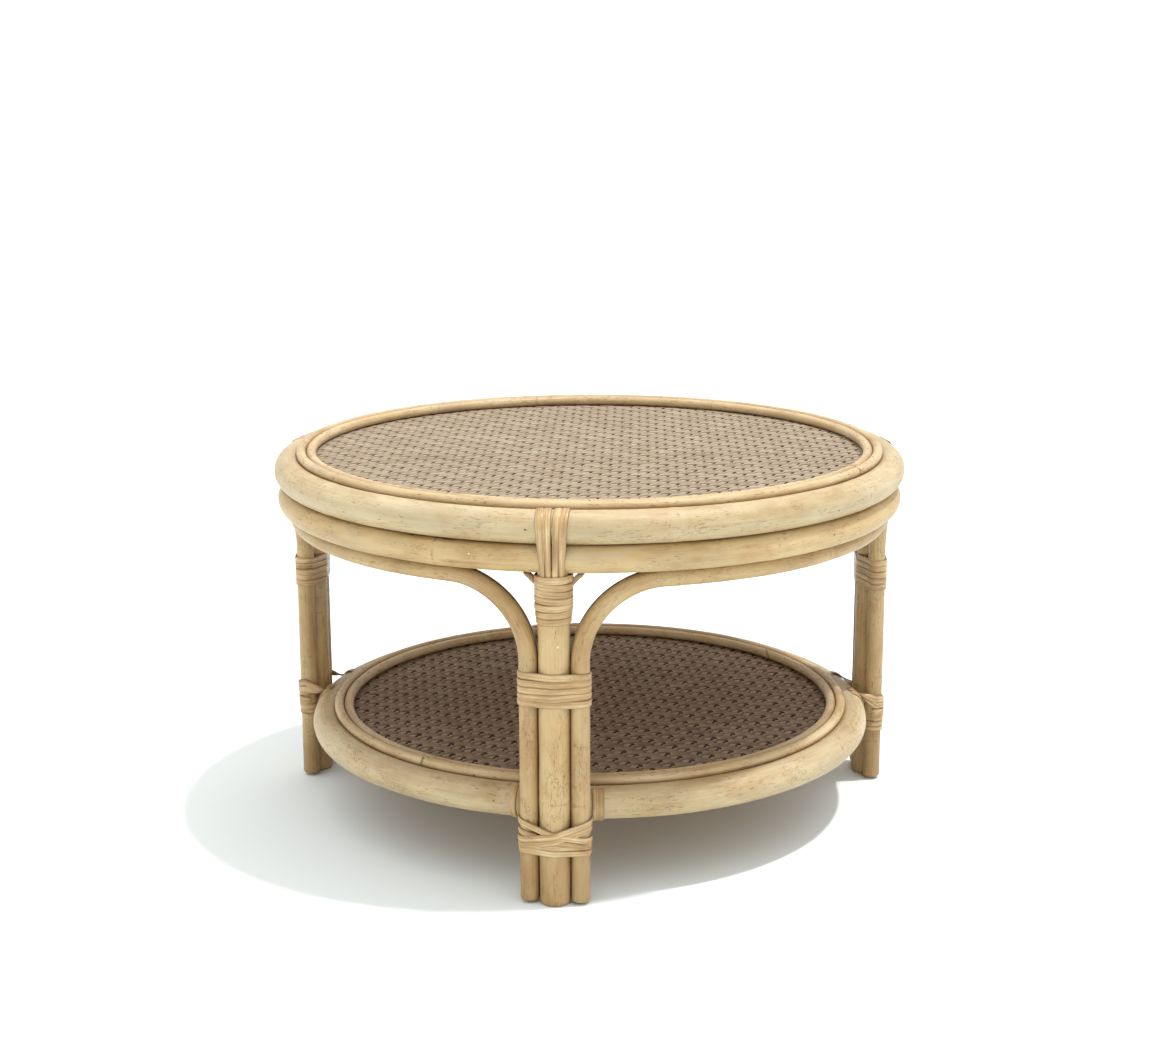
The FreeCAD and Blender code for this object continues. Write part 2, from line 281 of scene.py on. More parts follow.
def hoop(name, node, finish, slot, joint, sides, spacing, skew, seams, lumps, stain=None):
    """A cane bent into a full circle, its ends meeting in a slanting cut at the joint.

    The joint is an azimuth in degrees. A stain is a dark smear: its azimuth, its half length and
    how far round the cane it lies, in degrees.
    """
    radius, tube, height = ring_of(node)
    length = TAU * radius
    inner = np.linspace(3 * MM, length - 3 * MM, int(length / HOOP_STEP))
    along = np.concatenate([[0.15 * MM, 0.7 * MM], inner, [length - 0.7 * MM, length - 0.15 * MM]])
    turn = np.linspace(0, TAU, sides, endpoint=False)
    thickness, away = cane_surface(along, turn, tube, spacing, lumps)
    # Both ends run true to size near the joint, with their edges eased, and the cut slants by the skew
    end = np.minimum(along, length - along)
    ease = np.exp(-((end / (45 * MM)) ** 2))[:, None]
    thickness = tube + (thickness - tube) * (1 - ease)
    thickness = thickness - 0.45 * MM * np.exp(-((end / (0.6 * MM)) ** 2))[:, None]
    azimuth = math.radians(joint) + (along[:, None] + skew * ease * np.cos(turn - 0.6)) / radius
    place = radius + thickness * np.cos(turn)
    grid = outward(azimuth) * place[..., None]
    grid[..., 2] = height + thickness * np.sin(turn)
    grain = grain_of(along[:, None], tube * np.cos(turn), tube * np.sin(turn))
    # The seams carry painted contact shade; the cut joint and the stain added below are real marks
    mark = seam_shade_mark(turn, tube, seams) + np.zeros_like(place)
    mark = np.maximum(mark, 1.1 * np.exp(-((end / (0.8 * MM)) ** 2))[:, None])
    if stain:
        middle, reach, rise = (math.radians(value) for value in stain)
        off = (azimuth - middle + math.pi) % TAU - math.pi
        smear = 0.72 * np.exp(-((off / reach) ** 4)) * np.exp(-(((turn - rise) / 0.3) ** 2))
        mark = np.maximum(mark, smear)
    piece = Piece()
    piece.add(grid, grain, PLAIN_TONE, away, mark)
    piece.build(name, finish, slot, node)


# Half round above and flat below, as shares of the width and of the thickness
PEEL_SECTION = np.array(
    [(-0.5, 0.0), (-0.5, 0.45), (-0.43, 0.8), (-0.24, 0.97), (0.0, 1.0),
     (0.24, 0.97), (0.43, 0.8), (0.5, 0.45), (0.5, 0.0), (0.3, 0.0), (-0.3, 0.0)])


def spread_out(shares, rows):
    """Values given at even places along a path, one for each row of its mesh."""
    return np.interp(np.linspace(0, 1, rows), np.linspace(0, 1, len(shares)), shares)


def strip(piece, points, normals, width, thick=PEEL_THICK, step=2 * MM, tip=4 * MM,
          widths=(1, 1), depths=(1, 1)):
    """A flat peel laid along a path, its flat side on what it binds and its ends tapered.

    The widths and depths are shares of the width and thickness at even places along it.
    """
    points, normals = resample(np.asarray(points), np.asarray(normals), step)
    rows = len(points)
    tangent = unit(np.gradient(points, axis=0))
    normals = unit(normals - np.sum(normals * tangent, 1, keepdims=True) * tangent)
    side = np.cross(tangent, normals)
    along = np.arange(rows) * step
    end = np.minimum(along, along[-1] - along)
    wander = 1 + 0.05 * np.sin(along / (17 * MM) + rng.uniform(0, TAU))
    breadth = width * (0.55 + 0.45 * smooth(end / tip)) * wander * spread_out(widths, rows)
    depth = thick * (0.35 + 0.65 * smooth(end / tip)) * spread_out(depths, rows)
    across = side[:, None] * (PEEL_SECTION[:, 0] * breadth[:, None])[..., None]
    above = normals[:, None] * (PEEL_SECTION[:, 1] * depth[:, None])[..., None]
    grid = points[:, None] + across + above
    depth_grain = PEEL_SECTION[:, 1] * thick + rng.uniform(0, 1)
    grain = grain_of(along[:, None], PEEL_SECTION[:, 0] * width, depth_grain)
    edge = np.broadcast_to(1 - np.abs(PEEL_SECTION[:, 0]) * 2, grid.shape[:2])
    piece.add(grid, grain, rng.uniform(0.15, 0.85), 1.0, 1 - smooth(edge / 0.22))


# ------------ materials

def paint(red, green, blue):
    """A linear colour from the values of a colour picker."""
    values = np.array([red, green, blue]) / 255
    linear = np.where(values <= 0.04045, values / 12.92, ((values + 0.055) / 1.055) ** 2.4)
    return (*linear.tolist(), 1.0)


class Nodes:
    """A node tree, written as calls that each add one node and return its output."""

    def __init__(self, tree):
        self.tree = tree

    def node(self, kind, output, settings=(), **inputs):
        """Adds a node. An input is given by its name, or as i0, i1 and so on by its place."""
        made = self.tree.nodes.new(f"ShaderNode{kind}")
        for key, value in dict(settings).items():
            setattr(made, key, value)
        for key, value in inputs.items():
            by_place = key[0] == "i" and key[1:].isdigit()
            socket = made.inputs[int(key[1:]) if by_place else key]
            if isinstance(value, bpy.types.NodeSocket):
                self.tree.links.new(value, socket)
            else:
                socket.default_value = value
        return made.outputs[output]

    def ramp(self, value, *stops):
        made = self.tree.nodes.new("ShaderNodeValToRGB")
        while len(made.color_ramp.elements) < len(stops):
            made.color_ramp.elements.new(0.5)
        for element, (place, colour) in zip(made.color_ramp.elements, stops):
            element.position = place
            element.color = colour
        self.tree.links.new(value, made.inputs[0])
        return made.outputs[0]


class Finish(Nodes):
    """A material, with calls for the patterns and the sums that the finishes are made of."""

    def __init__(self, name):
        self.material = bpy.data.materials.new(name)
        self.material.use_nodes = True
        super().__init__(self.material.node_tree)
        self.shader = self.tree.nodes["Principled BSDF"]

    def layer(self, name, output="Fac"):
        """A layer of values that the mesh carries."""
        return self.node("Attribute", output, {"attribute_name": name})

    def stretch(self, vector, *factors):
        return self.node("VectorMath", 0, {"operation": "MULTIPLY"}, i0=vector, i1=factors)

    def grain(self, *factors):
        """Places along and across the fibres, with the density of a pattern each way, per metre."""
        return self.stretch(self.layer("grain", "Vector"), *factors)

    def noise(self, vector, detail=3.0, rough=0.55, scale=1.0):
        return self.node("TexNoise", 0, Vector=vector, Scale=scale, Detail=detail, Roughness=rough)

    def cells(self, vector, output="Distance"):
        return self.node("TexVoronoi", output, Vector=vector, Scale=1.0)

    def math(self, operation, first, second=0.0, third=0.0):
        return self.node("Math", 0, {"operation": operation}, i0=first, i1=second, i2=third)

    def times(self, first, second):
        return self.math("MULTIPLY", first, second)

    def add(self, value, share, base):
        """The base with a share of the value added."""
        return self.math("MULTIPLY_ADD", value, share, base)

    def fade(self, value, low, high, start=0.0, end=1.0):
        """Maps low..high to start..end, smoothly."""
        settings = {"interpolation_type": "SMOOTHSTEP"}
        return self.node("MapRange", 0, settings, i0=value, i1=low, i2=high, i3=start, i4=end)

    def mix(self, amount, first, second, blend="MIX"):
        settings = {"data_type": "RGBA", "blend_type": blend}
        return self.node("Mix", 2, settings, i0=amount, i6=first, i7=second)

    def three_tones(self, value, low, high, dark, middle, pale):
        """Dark up to low, pale from high on, and the middle colour halfway up the value's range."""
        return self.ramp(value, (low, dark), (0.5, middle), (high, pale))

    def bump(self, height, distance, strength=1.0):
        return self.node("Bump", 0, Height=height, Distance=distance, Strength=strength)

    def end(self, colour, normal, rough, **sockets):
        """Joins the results to the shader and gives the finished material."""
        for key, value in (("Base Color", colour), ("Normal", normal), ("Roughness", rough)):
            if isinstance(value, bpy.types.NodeSocket):
                self.tree.links.new(value, self.shader.inputs[key])
            elif value is not None:
                self.shader.inputs[key].default_value = value
        for key, value in sockets.items():
            self.shader.inputs[key.replace("_", " ")].default_value = value
        return self.material


# Of each kind of cane: its pale, honey and brown tones, how dark its short fibres are, and how
# strong its ruddy patches. The leg pole's tones are more saturated and the bent cane's darker and browner
# than the rim's, as painted shade: the poles stand in lower light, the arches under the apron.
CANES = {
    "rim pole": ((199, 182, 146), (184, 162, 122), (163, 135, 93), 0.65, 0.3),
    "leg pole in shade": ((205, 180, 134), (190, 161, 112), (164, 129, 80), 0.65, 0.35),
    "bent cane in shade": ((194, 168, 122), (177, 147, 100), (150, 115, 70), 0.7, 0.35),
    "trim cane": ((208, 188, 150), (191, 165, 122), (165, 131, 88), 0.8, 0.22),
}


def cane_colour(look, cloud, fibre, pale, honey, brown, ruddy):
    """The cloudy ground of a cane: mottling along the fibres, then grey and ruddy patches."""
    drift = look.noise(look.grain(7, 20, 20), 2)
    blend = look.add(fibre, 0.22, look.times(cloud, 0.4))
    blend = look.add(drift, 0.38, blend)
    colour = look.ramp(blend, (0.33, brown), (0.47, honey), (0.62, pale))
    grey = look.times(look.fade(look.noise(look.grain(9, 30, 30), 3), 0.53, 0.66), 0.28)
    colour = look.mix(grey, colour, paint(168, 154, 128))
    warm = look.times(look.fade(look.noise(look.grain(13, 40, 40), 3), 0.56, 0.7), ruddy)
    return look.mix(warm, colour, paint(164, 114, 64))


def cane_fibres(look, colour, fleck):
    """Short brown fibres, thick in some places and absent in others, and wandering hairline cracks."""
    dash = look.noise(look.grain(120, 1100, 1100), 2)
    area = look.fade(look.noise(look.grain(20, 60, 60), 2), 0.45, 0.58)
    dash = look.times(look.times(look.fade(dash, 0.6, 0.66), area), fleck)
    colour = look.mix(dash, colour, paint(104, 70, 38))
    crack = look.math("ABSOLUTE", look.math("SUBTRACT", look.noise(look.grain(38, 75, 75), 3, 0.7), 0.5))
    patch = look.fade(look.noise(look.grain(15, 36, 36), 2), 0.52, 0.62)
    crack = look.times(look.times(look.fade(crack, 0.004, 0.014, 1.0, 0.0), patch), 0.55)
    return look.mix(crack, colour, paint(120, 84, 48))


def cane_spots(look, colour):
    """Dark pits and pale chips, few and small. Also gives the pits, for the relief."""
    spots = look.grain(60, 75, 75)
    pick = look.node("SeparateColor", 0, Color=look.cells(spots, "Color"))
    pit = look.fade(look.cells(spots), 0.05, 0.11, 1.0, 0.0)
    pit = look.times(pit, look.fade(pick, 0.88, 0.9))
    colour = look.mix(look.times(pit, 0.8), colour, paint(76, 50, 30))
    chips = look.grain(34, 60, 60)
    choice = look.node("SeparateColor", 1, Color=look.cells(chips, "Color"))
    chip = look.fade(look.cells(chips), 0.035, 0.055, 1.0, 0.0)
    chip = look.times(chip, look.fade(choice, 0.9, 0.91))
    return look.mix(look.times(chip, 0.85), colour, paint(244, 238, 222)), pit


def cane_nodes(look, colour, pale):
    """The cane's nodes: each a faint ragged line, broken along its length, in a paler band."""
    ragged = look.noise(look.grain(60, 200, 200), 3)
    ragged = look.times(look.math("SUBTRACT", ragged, 0.5), 9 * MM)
    away = look.math("ADD", look.layer("knuckle"), ragged)
    broken = look.fade(look.noise(look.grain(20, 90, 90), 2), 0.44, 0.6)
    scar = look.times(look.fade(away, 0.3 * MM, 1.3 * MM, 1.0, 0.0), look.times(broken, 0.4))
    band = look.times(look.fade(away, 3 * MM, 13 * MM, 1.0, 0.0), 0.22)
    colour = look.mix(band, colour, pale)
    return look.mix(scar, colour, paint(120, 84, 50))


def cane_shade_and_stain(look, colour):
    """Painted shade with a ragged edge in the seams where canes touch, the same darkening also over the
    hoops' cut joints and their real stain. Also gives the seams, for the relief.
    """
    # Painted shade along the seams: a ragged dark line in the crease and a wide soft shade round it; where
    # the mark is a hoop's cut joint or stain, the darkening is real
    loose = look.noise(look.grain(70, 300, 300), 4)
    seam = look.add(loose, 0.9, look.layer("mark"))
    seam = look.times(look.fade(seam, 0.98, 1.26), 0.85)
    shade = look.times(look.fade(look.layer("mark"), 0.02, 0.42), 0.62)
    colour = look.mix(shade, colour, look.mix(1.0, colour, (0.6, 0.48, 0.36, 1.0), "MULTIPLY"))
    return look.mix(seam, colour, paint(58, 38, 24)), seam


def browner_foot(look, colour):
    """Browner towards the floor."""
    height = look.node("SeparateXYZ", 2, Vector=look.node("TexCoord", "Object"))
    foot = look.times(look.fade(height, 0.03, 0.105, 1.0, 0.0), 0.55)
    return look.mix(foot, colour, look.mix(1.0, colour, (0.62, 0.52, 0.42, 1.0), "MULTIPLY"))


def cane_finish(name):
    """Polished rattan: cloudy mottling, fine fibres, short brown dashes, pale chips and faint nodes."""
    *tones, fleck, ruddy = CANES[name]
    pale, honey, brown = (paint(*tone) for tone in tones)
    look = Finish(name)
    fibre = look.noise(look.grain(14, 420, 420), 3)
    hair = look.noise(look.grain(34, 1300, 1300), 2)
    cloud = look.noise(look.grain(26, 62, 62), 4, 0.62)
    colour = cane_colour(look, cloud, fibre, pale, honey, brown, ruddy)
    colour = cane_fibres(look, colour, fleck)
    colour, pit = cane_spots(look, colour)
    colour = cane_nodes(look, colour, pale)
    colour, seam = cane_shade_and_stain(look, colour)
    colour = browner_foot(look, colour)
    relief = look.add(fibre, 0.4, look.times(hair, 0.25))
    relief = look.add(cloud, 0.5, relief)
    relief = look.math("SUBTRACT", relief, look.times(pit, 0.8))
    relief = look.math("SUBTRACT", relief, look.times(seam, 1.2))
    sheen = look.fade(cloud, 0.3, 0.7, 0.4, 0.56)
    return look.end(colour, look.bump(relief, 0.4 * MM, 0.7), sheen, Specular_IOR_Level=0.42)


def peel_finish(name):
    """Rattan peel: straight fibres, each strip its own tone, darker along its edges."""
    look = Finish(name)
    fibre = look.noise(look.grain(12, 900, 500), 3)
    cloud = look.noise(look.grain(24, 70, 70), 3)
    blend = look.add(fibre, 0.5, look.times(cloud, 0.5))
    colour = look.three_tones(
        blend, 0.38, 0.62, paint(150, 116, 74), paint(188, 156, 108), paint(220, 196, 152))
    colour = look.mix(look.times(look.layer("tone"), 0.26), colour, paint(166, 128, 80))
    edge = look.times(look.layer("mark"), 0.62)
    colour = look.mix(edge, colour, paint(84, 56, 32))
    dash = look.fade(look.noise(look.grain(90, 1600, 1600), 2), 0.62, 0.72)
    colour = look.mix(look.times(dash, 0.45), colour, paint(104, 70, 40))
    relief = look.add(fibre, 0.6, look.times(cloud, 0.2))
    return look.end(colour, look.bump(relief, 0.3 * MM, 0.6), 0.38, Specular_IOR_Level=0.5)


def weave_finish(name, shade, painted_highlight, gap):
    """Matt split-cane strips: fine fibres, patchy tone, a painted highlight on the crest, and painted
    shade where they dive.
    """
    look = Finish(name)
    fibre = look.noise(look.grain(30, 1100, 600), 3)
    cloud = look.noise(look.grain(22, 70, 70), 3)
    blend = look.add(fibre, 0.5, look.times(cloud, 0.5))
    colour = look.three_tones(
        blend, 0.34, 0.66, paint(142, 120, 96), paint(174, 154, 131), paint(200, 184, 162))
    colour = look.mix(look.times(look.layer("tone"), 0.3), colour, paint(150, 124, 98))
    # Darkens the whole weave: a tint on the top, and painted shade on the shelf under it
    colour = look.mix(1.0, colour, (*shade, 1.0), "MULTIPLY")
    # The knuckle layer holds the painted highlights on the crests here, and the mark layer the painted
    # shade in the slits
    colour = look.mix(look.times(look.layer("knuckle"), painted_highlight), colour, paint(206, 186, 158))
    # Painted shade in the slits, ragged with noise, in the gap colour
    loose = look.noise(look.grain(160, 500, 500), 3)
    slit_shade = look.add(loose, 0.7, look.layer("mark"))
    colour = look.mix(look.fade(slit_shade, 0.6, 0.8), colour, gap)
    relief = look.add(fibre, 0.7, look.times(cloud, 0.3))
    return look.end(colour, look.bump(relief, 0.25 * MM, 0.6), 0.7, Specular_IOR_Level=0.1)


def board_finish(name):
    """Plywood: long flame grain on the underside, and painted shade on top where the weave lies on it."""
    look = Finish(name)
    place = look.node("TexCoord", "Object")
    warp = look.noise(place, 2, 0.5, 5.0)
    shift = look.node("CombineXYZ", 0, X=look.times(warp, 0.09))
    bent = look.node("VectorMath", 0, {"operation": "ADD"}, i0=place, i1=shift)
    figure = look.noise(look.stretch(bent, 60, 3.5, 10), 5, 0.6)
    pore = look.fade(look.noise(look.stretch(place, 1500, 60, 200), 2), 0.6, 0.72)
    colour = look.three_tones(
        figure, 0.34, 0.66, paint(132, 96, 62), paint(166, 130, 90), paint(190, 156, 114))
    colour = look.mix(look.times(pore, 0.5), colour, paint(92, 62, 38))
    # Painted shade on the upward faces, under the weave
    facing = look.node("SeparateXYZ", 2, Vector=look.node("NewGeometry", "Normal"))
    colour = look.mix(look.fade(facing, 0.5, 0.8), colour, paint(46, 32, 24))
    return look.end(colour, look.bump(figure, 0.3 * MM, 0.5), 0.66)


def steel_finish(name):
    """Small bright nails with a little rust and scratching."""
    look = Finish(name)
    place = look.node("TexCoord", "Object")
    rust = look.fade(look.noise(place, 3, 0.6, 900.0), 0.55, 0.68)
    colour = look.mix(rust, paint(150, 148, 144), paint(104, 74, 52))
    scratch = look.noise(place, 2, 0.5, 3000.0)
    rough = look.fade(scratch, 0.3, 0.7, 0.3, 0.5)
    return look.end(colour, look.bump(scratch, 0.05 * MM, 0.4), rough, Metallic=1.0)


# ------------ poles and canes

def leg_pole(side, finish):
    """The thick middle pole of a leg, rounded at the floor and coped under the apron."""
    low, high = spread_of(f"{side}_leg_pole")
    rounding = np.array([0, 0.7, 1.6, 3, 5, 8]) * MM
    shaft = np.arange(low + 11 * MM, high - 12 * MM, 3 * MM)
    heights = np.concatenate([low + rounding, shaft, [high - 9 * MM, high]])
    path = at_leg(side, np.stack([0 * heights, 0 * heights, heights], -1))
    piece = Piece()
    out = np.broadcast_to(outward(LEGS[side][0]), path.shape)
    seams = (90, -90) if side in CANED else ()
    cane(piece, path, out, POLE_TUBE, 48, spacing=240 * MM, lumps=0.007, ends=(4.5 * MM, 0), seams=seams)
    # The last row of the mesh, moved down to lie against the round of the apron pole
    top = piece.points[0].reshape(len(heights), -1, 3)
    turn = np.linspace(0, TAU, top.shape[1], endpoint=False)
    reach = np.minimum(abs(POLE_TUBE * np.cos(turn)), APRON[1])
    cope = APRON[2] - np.sqrt(APRON[1] ** 2 - reach ** 2) - 0.05 * MM
    top[-1, :, 2] = np.minimum(cope, high)
    piece.build(f"{side}_pole", finish, "pole_cane", f"{side}_leg_pole")


def upright_path():
    """A cane from its foot beside a leg to the end of the bend that brings it under the apron."""
    spread = math.atan2(CANE_OFFSET, LEG_RADIUS)
    foot_radius = math.hypot(CANE_OFFSET, LEG_RADIUS)
    bend = np.radians(np.arange(0, 91, 2.5))
    shaft = np.arange(9, (BEND_START - CANE_FOOT) / MM - 2, 3.5)
    rise = np.concatenate([[0, 0.6, 1.5, 3, 5.5], shaft]) * MM
    azimuth = spread + BEND_RADIUS * (1 - np.cos(bend)) / ARCH_RADIUS
    radius = foot_radius + (ARCH_RADIUS - foot_radius) * bend / (math.pi / 2)
    height = BEND_START + BEND_RADIUS * np.sin(bend)
    upright = np.stack([np.full(len(rise), spread), np.full(len(rise), foot_radius), CANE_FOOT + rise], -1)
    return np.vstack([upright, np.stack([azimuth, radius, height], -1)])


def arch_end(side, hand):
    """One end of an arch: down to the floor beside a leg with canes, or cut short of the plain pole."""
    if side in CANED:
        end = upright_path()
    else:
        end = np.array([[BACK_CANE_GAP / ARCH_RADIUS, ARCH_RADIUS, ARCH_HEIGHT]])
    end[:, 0] = LEGS[side][0] + hand * end[:, 0]
    return end


def arch_cane(first, second, finish):
    """Foot to foot: up beside one leg, level under the apron and down beside the next."""
    rise = arch_end(first, 1)
    fall = arch_end(second, -1)[::-1]
    if fall[0, 0] < rise[-1, 0]:
        fall[:, 0] += TAU
    level = np.arange(rise[-1, 0], fall[0, 0] - 4 * MM / ARCH_RADIUS, 3.5 * MM / ARCH_RADIUS)[1:]
    run = np.stack([level, np.full(len(level), ARCH_RADIUS), np.full(len(level), ARCH_HEIGHT)], -1)
    azimuth, radius, height = np.vstack([rise, run, fall]).T
    path = outward(azimuth) * radius[:, None]
    path[:, 2] = height
    name = "_".join(sorted((first, second), key=("front", "back", "right", "left").index))
    piece = Piece()
    cane(piece, path, outward(azimuth), CANE_TUBE, 36, spacing=190 * MM, lumps=0.008,
         ends=(3 * MM, 3 * MM), seams=(-84,))
    piece.build(f"arch_{name}", finish, "arch_cane", f"arch_cane_{name}")


# ------------ woven panels

# Of each tier's weave: the spacing of its strips, their turn from straight across, how far the painted
# shade of a slit runs, in spacings, and how strong that painted shade is
WEAVES = {
    "top": (10.9 * MM, math.radians(-1.5), 0.56, 1.2),
    "shelf": (12.2 * MM, math.radians(6), 0.66, 0.8),
}
# Width in spacings, thickness, and the height of the middle line where a strip is up and down
OVER_STRIP = {"wide": 0.995, "thick": 1.0 * MM, "high": 1.0 * MM, "low": -0.95 * MM}
CROSS_STRIP = {"wide": 0.62, "thick": 0.8 * MM, "high": 0.5 * MM, "low": -1.0 * MM}
STRIP_SECTION = np.array([(-0.5, -0.5), (0.5, -0.5), (0.48, 0.36), (0.0, 0.5), (-0.48, 0.36)])
# How much painted shade lies in the slit where a floating strip dives, across the strip's section
SLIT_SHADE_ACROSS = np.array([0.0, 0.0, 0.0, 1.0, 0.0])
# Where a strip is drawn, in spacings from each place at which it dives or comes up
STATIONS = np.array([-1.5, -1.0, -0.68, -0.56, -0.48, -0.41, -0.32, 0, 0.32, 0.41, 0.48, 0.56, 0.68, 1.0])
# How far a slit leans along its strip, as a share of the way across it
SLIT_SLANT = 0.46


def row_stations(row, radius, pitch):
    """Where a strip of the weave is drawn, from its one end at the panel's rim to the other."""
    half = math.sqrt(radius ** 2 - (row * pitch) ** 2)
    first = math.floor((row - half / pitch) / 3) - 1
    places = 3 * (first + np.arange(math.ceil(2 * half / pitch / 3) + 3))
    along = ((places[:, None] + STATIONS).ravel() - row) * pitch
    return np.concatenate([[-half], along[abs(along) < half - 0.4 * MM], [half]])


def floating_profile(away, slit, slit_shade_strength):
    """Rise, painted highlight on the crest and painted shade in the slit of a strip that floats over two.

    Away is the distance past the place where it dives under, in spacings.
    """
    near = abs(away)
    rise = smooth((near - 0.36) / 0.24) * (0.78 + 0.22 * smooth((near - 0.5) / 1.0))
    # A painted highlight on the crest just past the slit
    painted_highlight = smooth((away - 0.5) / 0.2) * (1 - smooth((away - 0.7) / 0.5))
    # Painted shade in the slit, fuller on the side past the dive
    dark = (1 - smooth((near - slit) / 0.1)) * np.where(away > 0, slit_shade_strength, 0.35)
    return rise, painted_highlight, dark[:, None] * SLIT_SHADE_ACROSS


def crossing_profile(away, slit_shade_strength):
    """Rise, painted highlight on the crest and painted shade at the ends of a strip that comes up over
    one.

    Away is the distance past the place where it comes up, in spacings.
    """
    near = abs(away)
    rise = 1 - smooth((near - 0.38) / 0.18)
    # Painted shade at both ends of the crossing float
    dark = (slit_shade_strength - 0.5) * smooth((near - 0.36) / 0.1)[:, None]
    # The middle of the crossing float carries a painted highlight
    return rise, 1 - smooth(near / 0.45), dark


def weave_strips(radius, middle, over, pitch, turn, slit, slit_shade_strength):
    """Every strip that runs one way in a twill where one set floats over two and dives under one."""
    kind = OVER_STRIP if over else CROSS_STRIP
    piece = Piece()
    last = int((radius - 3 * MM) / pitch)
    for row in range(-last, last + 1):
        along = row_stations(row, radius, pitch)
        away = (along / pitch + row + 1.5) % 3 - 1.5
        near = abs(away)
        local = STRIP_SECTION[:, 0] * kind["wide"] * pitch * (1 + rng.uniform(-0.03, 0.01))
        wander = 0.25 * MM * np.sin(along / (33 * MM) + rng.uniform(0, TAU))
        if over:
            rise, painted_highlight, dark = floating_profile(away, slit, slit_shade_strength)
            run = along[:, None] + SLIT_SLANT * local
            across = row * pitch + wander[:, None] + local
            x, y = run, across
        else:
            wander = wander + 0.5 * MM * np.sin(np.round(along / pitch / 3) * rng.uniform(1, 5))
            rise, painted_highlight, dark = crossing_profile(away, slit_shade_strength)
            slant = np.where(near < 0.5, away, np.sign(away) * 0.5 * (1.5 - near)) * SLIT_SLANT * pitch
            run = np.broadcast_to(along[:, None], (len(along), len(local)))
            across = (row - 0.03) * pitch + (wander + slant)[:, None] + local
            x, y = across, run
        height = kind["low"] + (kind["high"] - kind["low"]) * rise + rng.uniform(-0.08, 0.06) * MM
        up = middle + height[:, None] + STRIP_SECTION[:, 1] * kind["thick"]
        east = x * math.cos(turn) - y * math.sin(turn)
        north = x * math.sin(turn) + y * math.cos(turn)
        grid = np.stack([east, north, up], -1)
        # Each strip takes its own part of the pattern
        grain = grain_of(run, local + row * 0.37, STRIP_SECTION[:, 1] * MM + row * 0.11)
        if not over:
            # The crossing set runs along y, so its section goes round the other way to face outwards
            grid = grid[:, ::-1]
            grain = grain[:, ::-1]
        # The painted highlight goes in the knuckle layer, the painted shade of the slits in the mark layer
        piece.add(grid, grain, rng.uniform(0, 1), painted_highlight[:, None], dark)
    return piece


def woven_panel(tier, finish):
    """Both sets of strips of a tier's weave, whose edge runs on under the trim canes."""
    node = f"{tier}_woven_panel"
    _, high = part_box(f"{tier}_woven_panel")
    radius = high.x - 2 * MM
    middle = high.z - 1.5 * MM
    floating = weave_strips(radius, middle, True, *WEAVES[tier])
    floating.build(f"{tier}_weave_floating", finish, "woven_core", node)
    crossing = weave_strips(radius, middle, False, *WEAVES[tier])
    crossing.build(f"{tier}_weave_crossing", finish, "woven_core", node)


# ------------ bindings

def cane_apart(height):
    """How far from a leg's middle its two canes stand at a height."""
    above = min(max(height - BEND_START, 0), BEND_RADIUS)
    return CANE_OFFSET + BEND_RADIUS - math.sqrt(BEND_RADIUS ** 2 - above ** 2)


def hull(members, lift, angles):
    """The path of a tight string round some upright members, for each outward direction."""
    points = []
    normals = []
    for angle in angles:
        way = np.array([math.cos(angle), math.sin(angle)])
        centre, tube = max(members, key=lambda member: member[0] * way[0] + member[1])
        points.append([centre + (tube + lift) * way[0], (tube + lift) * way[1], 0])
        normals.append([*way, 0])
    return np.array(points), np.array(normals)


def leg_members(side, height):
    """The uprights of a leg at a height: how far each is from the middle, and its radius."""
    if side not in CANED:
        return [(0.0, POLE_TUBE)]
    apart = cane_apart(height)
    return [(0.0, POLE_TUBE), (apart, CANE_TUBE), (-apart, CANE_TUBE)]


def coil(piece, side, members_at, low, high, turns, lean):
    """Turns of peel side by side, each level in front and stepping up behind."""
    pitch = (high - low) / turns
    angles = np.radians(np.arange(-90, 271, 3))
    around = (angles - angles[0]) / TAU
    points = []
    normals = []
    for turn in range(turns):
        middle = low + pitch * (turn + 0.5)
        tilt = rng.uniform(-lean, lean)
        step = pitch * (smooth((around - 0.9) / 0.2) - smooth((0.1 - around) / 0.2))
        ring, out = hull(members_at(side, middle), rng.uniform(0, 0.25) * MM, angles)
        reach = np.abs(ring[:, 0]).max()
        ring[:, 2] = middle + step + tilt * ring[:, 0] / reach
        start = 1 if turn else 0
        points.append(ring[start:])
        normals.append(out[start:])
    points = np.concatenate(points)
    normals = np.concatenate(normals)
    strip(piece, at_leg(side, points), turn_to_leg(side, normals), pitch * 1.06)


def upper_wrap(side, finish):
    """Turns round the pole below the apron, over the feet of the rim straps."""
    node = f"{side}_leg_upper_wrap"
    low, high = spread_of(node)

    def members(_, height):
        return [(0.0, POLE_TUBE + 1.9 * MM * smooth((height - low - 4 * MM) / (14 * MM)))]

    piece = Piece()
    coil(piece, side, members, low, high, turns=7, lean=1.1 * MM)
    piece.build(f"{side}_upper_wrap", finish, "peel", node)


def middle_wrap(side, finish):
    """Turns round the pole and its two canes, where the arches start."""
    node = f"{side}_leg_middle_wrap"
    low, high = spread_of(node)
    piece = Piece()
    coil(piece, side, leg_members, low + 1 * MM, high - 2 * MM, turns=5, lean=1.2 * MM)
    piece.build(f"{side}_middle_wrap", finish, "peel", node)


# Degrees from the top of the rim, towards the table's axis, at which the rim straps of a leg start
STRAP_START = {"front": 24, "right": -36, "back": -36, "left": -36}
# Along a rim strap, its width against the usual; along an apron tie, its thickness against the most
STRAP_WIDTHS = (1.04, 1.14, 1.14, 1.1, 1.0, 0.9, 0.82, 0.8)
TIE_DEPTHS = (0.25, 0.25, 0.35, 0.5, 0.75, 0.8, 0.65, 0.5)


